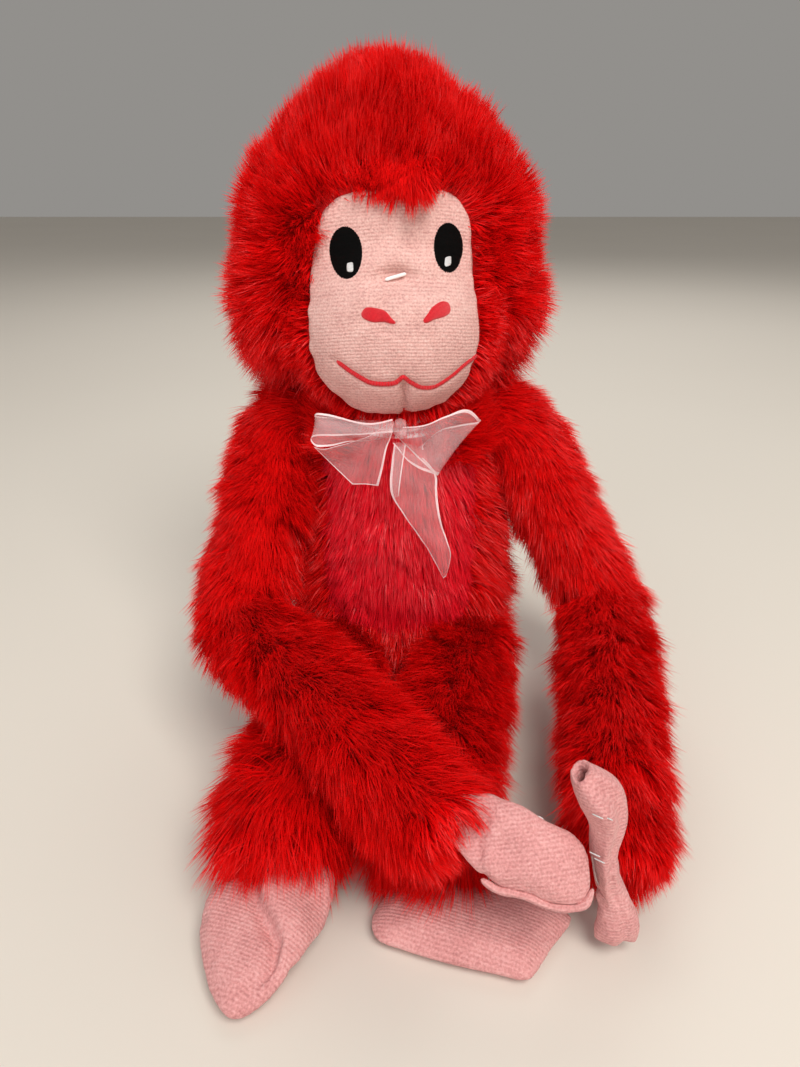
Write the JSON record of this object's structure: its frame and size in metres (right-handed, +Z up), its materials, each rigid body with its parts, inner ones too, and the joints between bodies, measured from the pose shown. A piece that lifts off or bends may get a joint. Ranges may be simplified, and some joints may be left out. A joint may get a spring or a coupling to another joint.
{
  "type": "stuffed monkey",
  "caption": "Sitting long-armed plush monkey with a knit face, mitts and feet, a ribbon bow, and limbs that swing at their sewn joints.",
  "frame": {"origin": "middle of the flat seat that the monkey sits on", "axes": "+Z up, the monkey faces -Y, its own left side is +X"},
  "size_m": [0.1559, 0.2155, 0.224],
  "materials": {
    "red_plush": "long soft pile",
    "chest_plush": "short lustrous pile",
    "pink_knit": "brushed rib knit",
    "black_thread": "satin stitch",
    "white_thread": "satin stitch",
    "red_thread": "satin stitch",
    "ribbon": "sheer organza with satin edges",
    "label_cloth": "woven satin",
    "fibre_fill": "polyester fibre",
    "tag_plastic": "smooth",
    "patch_cloth": "hook and loop"
  },
  "bodies": {
    "torso": {"bow_loop_left": "ribbon", "bow_loop_right": "ribbon", "bow_tail_left": "ribbon", "bow_tail_right": "ribbon", "care_label": "label_cloth", "chest_panel": "chest_plush", "neck_ribbon": "ribbon", "ribbon_knot": "ribbon", "torso_back_panel": "red_plush", "torso_stuffing": "fibre_fill"},
    "head": {"ear_back_left": "red_plush", "ear_back_right": "red_plush", "ear_front_left": "pink_knit", "ear_front_right": "pink_knit", "eye_glint_left": "white_thread", "eye_glint_right": "white_thread", "eye_left": "black_thread", "eye_right": "black_thread", "face_panel": "pink_knit", "head_fur_hood": "red_plush", "head_stuffing": "fibre_fill", "mouth_stitching": "red_thread", "nostril_left": "red_thread", "nostril_right": "red_thread", "tag_bar": "tag_plastic"},
    "foot_left": {"foot_sole_left": "pink_knit", "foot_top_left": "pink_knit"},
    "foot_right": {"foot_sole_right": "pink_knit", "foot_top_right": "pink_knit"},
    "forearm_left": {"forearm_left_sleeve": "red_plush", "forearm_left_stuffing": "fibre_fill"},
    "forearm_right": {"forearm_right_sleeve": "red_plush", "forearm_right_stuffing": "fibre_fill"},
    "hand_left": {"hand_back_left": "pink_knit", "hand_palm_left": "pink_knit", "hand_patch_left": "patch_cloth"},
    "hand_right": {"hand_back_right": "pink_knit", "hand_palm_right": "pink_knit", "hand_patch_right": "patch_cloth"},
    "leg_left": {"leg_left_sleeve": "red_plush", "leg_left_stuffing": "fibre_fill"},
    "leg_right": {"leg_right_sleeve": "red_plush", "leg_right_stuffing": "fibre_fill"},
    "upper_arm_left": {"upper_arm_left_sleeve": "red_plush", "upper_arm_left_stuffing": "fibre_fill"},
    "upper_arm_right": {"upper_arm_right_sleeve": "red_plush", "upper_arm_right_stuffing": "fibre_fill"}
  },
  "joints": [
    {"name": "neck_turn", "type": "hinge", "parent": "torso", "child": "head", "pos_m": [0, 0, 0.1197], "axis": [0, 0, 1], "range_deg": [-25, 25]},
    {"name": "shoulder_right", "type": "hinge", "parent": "torso", "child": "upper_arm_right", "pos_m": [-0.044, 0.004, 0.104], "axis": [-1, 0, 0], "range_deg": [0, 80]},
    {"name": "shoulder_left", "type": "hinge", "parent": "torso", "child": "upper_arm_left", "pos_m": [0.044, 0.004, 0.104], "axis": [-1, 0, 0], "range_deg": [0, 80]},
    {"name": "elbow_right", "type": "hinge", "parent": "upper_arm_right", "child": "forearm_right", "pos_m": [-0.05827, -0.049, 0.05], "axis": [0, 0, -1], "range_deg": [0, 80]},
    {"name": "elbow_left", "type": "hinge", "parent": "upper_arm_left", "child": "forearm_left", "pos_m": [0.08062, -0.01918, 0.04035], "axis": [0, 0, 1], "range_deg": [0, 60]},
    {"name": "wrist_right", "type": "hinge", "parent": "forearm_right", "child": "hand_right", "pos_m": [0.01053, -0.14209, 0.0425], "axis": [-0.1704, -0.5934, -0.7866], "range_deg": [0, 60]},
    {"name": "wrist_left", "type": "hinge", "parent": "forearm_left", "child": "hand_left", "pos_m": [0.06353, -0.13209, 0.02], "axis": [-0.0425, 0.6922, 0.7205], "range_deg": [0, 60]},
    {"name": "hip_right", "type": "hinge", "parent": "torso", "child": "leg_right", "pos_m": [-0.025, -0.032, 0.0175], "axis": [0, 0, -1], "range_deg": [0, 35]},
    {"name": "hip_left", "type": "hinge", "parent": "torso", "child": "leg_left", "pos_m": [0.025, -0.032, 0.0175], "axis": [0, 0, 1], "range_deg": [0, 14]},
    {"name": "ankle_right", "type": "hinge", "parent": "leg_right", "child": "foot_right", "pos_m": [-0.03493, -0.11941, 0.0195], "axis": [-1, 0, 0], "range_deg": [0, 60]},
    {"name": "ankle_left", "type": "hinge", "parent": "leg_left", "child": "foot_left", "pos_m": [0.00677, -0.11808, 0.0165], "axis": [-0.9451, -0.3267, 0], "range_deg": [0, 15]}
  ]
}
